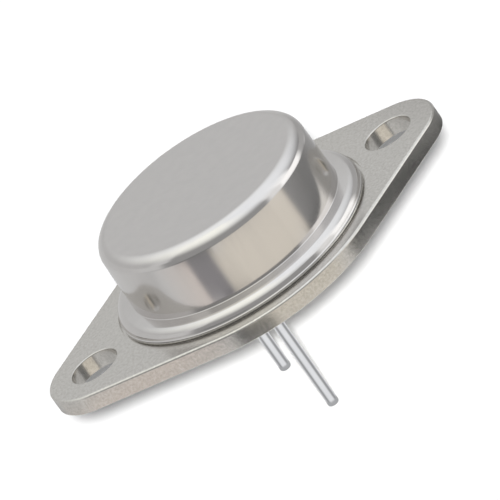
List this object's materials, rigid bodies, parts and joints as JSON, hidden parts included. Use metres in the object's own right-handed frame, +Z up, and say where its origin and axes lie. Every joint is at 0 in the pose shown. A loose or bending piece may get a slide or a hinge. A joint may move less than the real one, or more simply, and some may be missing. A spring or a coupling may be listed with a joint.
{
  "type": "power transistor",
  "caption": "Metal can power transistor: round drawn cap welded to an eared base plate with bolt holes, and round pins below.",
  "frame": {"origin": "centre of the flat seat under the header, on the cap's axis", "axes": "+Z up through the cap, +X along the line of the bolt holes, away from the side the leads are offset to"},
  "size_m": [0.0386, 0.026, 0.0201],
  "materials": {
    "header_steel": "satin nickel plate",
    "cap_steel": "bright nickel plate",
    "lead_alloy": "bright nickel plate",
    "seal_glass": "fused glass",
    "braze": "flowed braze",
    "copper": "satin copper",
    "solder": "flowed solder",
    "molybdenum": "ground",
    "silicon": "etched",
    "contact_metal": "evaporated metal",
    "silicone": "cured silicone",
    "clip_nickel": "stamped nickel"
  },
  "bodies": {
    "root": {"header": "header_steel", "cap": "cap_steel", "emitter_lead": "lead_alloy", "base_lead": "lead_alloy", "emitter_seal": "seal_glass", "base_seal": "seal_glass", "spreader_braze": "braze", "heat_spreader": "copper", "plate_solder": "solder", "molybdenum_plate": "molybdenum", "die_solder": "solder", "silicon_die": "silicon", "emitter_metal": "contact_metal", "base_metal": "contact_metal", "junction_coating": "silicone", "emitter_clip": "clip_nickel", "base_clip": "clip_nickel", "emitter_clip_solder": "solder", "base_clip_solder": "solder", "emitter_lead_solder": "solder", "base_lead_solder": "solder"}
  },
  "joints": []
}
